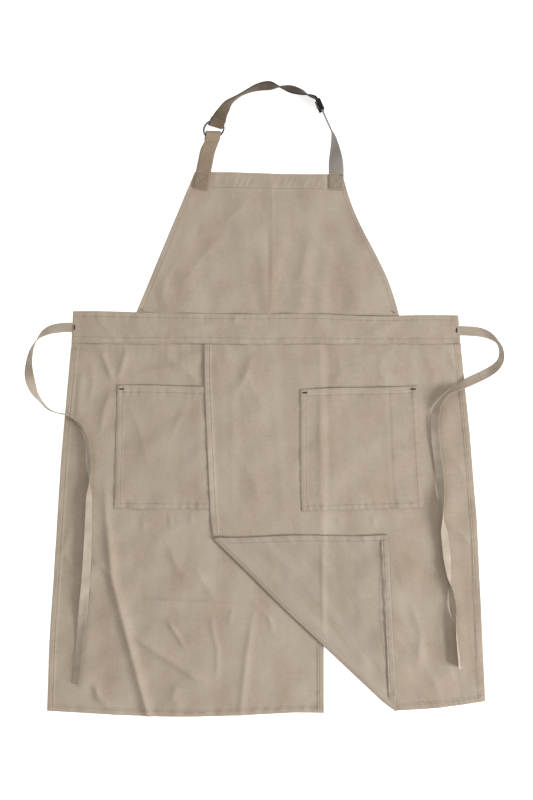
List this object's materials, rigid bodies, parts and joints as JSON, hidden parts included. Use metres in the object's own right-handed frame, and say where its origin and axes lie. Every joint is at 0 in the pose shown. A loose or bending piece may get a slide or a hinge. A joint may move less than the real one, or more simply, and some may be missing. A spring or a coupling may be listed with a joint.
{
  "type": "split-leg studio apron",
  "caption": "Sleeveless split-leg canvas apron with a bib, adjustable neck strap through a ring and slider, patch pockets, waist ties and one folded leg corner.",
  "frame": {"origin": "middle of the waistband's back face, on the surface that the apron lies on", "axes": "+X to the right as the apron is seen from the front, +Y up the bib, +Z out of the front"},
  "size_m": [0.8182, 1.0662, 0.038],
  "materials": {
    "canvas": "matte",
    "webbing": "matte",
    "tie_tape": "matte",
    "navy_thread": "matte",
    "tan_thread": "matte",
    "ring_metal": "satin",
    "slider_metal": "satin"
  },
  "bodies": {
    "waistband": {"waistband_back": "canvas", "waistband_seam_stack": "canvas", "waistband_front": "canvas", "waistband_end_tacks": "navy_thread", "left_tie_root": "tie_tape", "right_tie_root": "tie_tape"},
    "bib": {"bib_panel": "canvas", "bib_top_hem": "canvas", "bib_left_hem": "canvas", "bib_right_hem": "canvas", "bib_seam_tacks": "tan_thread", "neck_tab_foot": "webbing", "neck_tab_box_stitch": "tan_thread", "neck_strap_foot": "webbing", "neck_strap_box_stitch": "tan_thread"},
    "neck_loop": {"neck_tab": "webbing", "neck_tab_ring_loop": "webbing", "neck_strap_ring_loop": "webbing", "neck_strap_outer_run": "webbing", "neck_strap_return_run": "webbing", "neck_strap_right_run": "webbing"},
    "ring": {"o_ring": "ring_metal"},
    "slider": {"slider_frame": "slider_metal", "slider_centre_bar": "slider_metal", "strap_end_loop": "webbing"},
    "left_leg": {"left_leg_panel": "canvas", "left_outer_hem": "canvas", "left_inner_hem": "canvas", "left_bottom_hem": "canvas", "left_pocket_front": "canvas", "left_pocket_turnings": "canvas", "left_pocket_top_hem": "canvas", "left_pocket_tacks": "navy_thread", "left_tie_tail": "tie_tape"},
    "right_leg": {"right_leg_panel": "canvas", "right_outer_hem": "canvas", "right_inner_hem": "canvas", "right_bottom_hem": "canvas", "right_pocket_front": "canvas", "right_pocket_turnings": "canvas", "right_pocket_top_hem": "canvas", "right_pocket_tacks": "navy_thread", "right_pocket_pen_slot": "tan_thread", "right_tie_tail": "tie_tape"},
    "corner_flap": {"corner_flap_panel": "canvas", "corner_flap_bottom_hem": "canvas", "corner_flap_front_hem": "canvas"}
  },
  "joints": [
    {"name": "bib_fold", "type": "hinge", "parent": "waistband", "child": "bib", "pos_m": [0, 0.025, 0.0038], "axis": [-1, 0, 0], "range_deg": [-150, 0]},
    {"name": "neck_loop_fold", "type": "hinge", "parent": "bib", "child": "neck_loop", "pos_m": [0.003, 0.2635, 0.0034], "axis": [1, 0, 0], "range_deg": [0, 140]},
    {"name": "ring_spin", "type": "hinge", "parent": "neck_loop", "child": "ring", "pos_m": [-0.089, 0.335, 0.02], "axis": [0.2722, -0.6113, 0.7431], "continuous": true},
    {"name": "slider_slide", "type": "slide", "parent": "neck_loop", "child": "slider", "axis": [0.4067, -0.9135, 0], "range_m": [0, 0.036]},
    {"name": "left_leg_lift", "type": "hinge", "parent": "waistband", "child": "left_leg", "pos_m": [0, -0.027, 0.0038], "axis": [-1, 0, 0], "range_deg": [0, 60]},
    {"name": "right_leg_lift", "type": "hinge", "parent": "left_leg", "child": "right_leg", "pos_m": [0, -0.027, 0.0038], "axis": [-1, 0, 0], "range_deg": [0, 80]},
    {"name": "corner_unfold", "type": "hinge", "parent": "right_leg", "child": "corner_flap", "pos_m": [-0.09026, -0.3555, 0.006], "axis": [0.72, -0.6939, 0], "range_deg": [0, 176]}
  ]
}
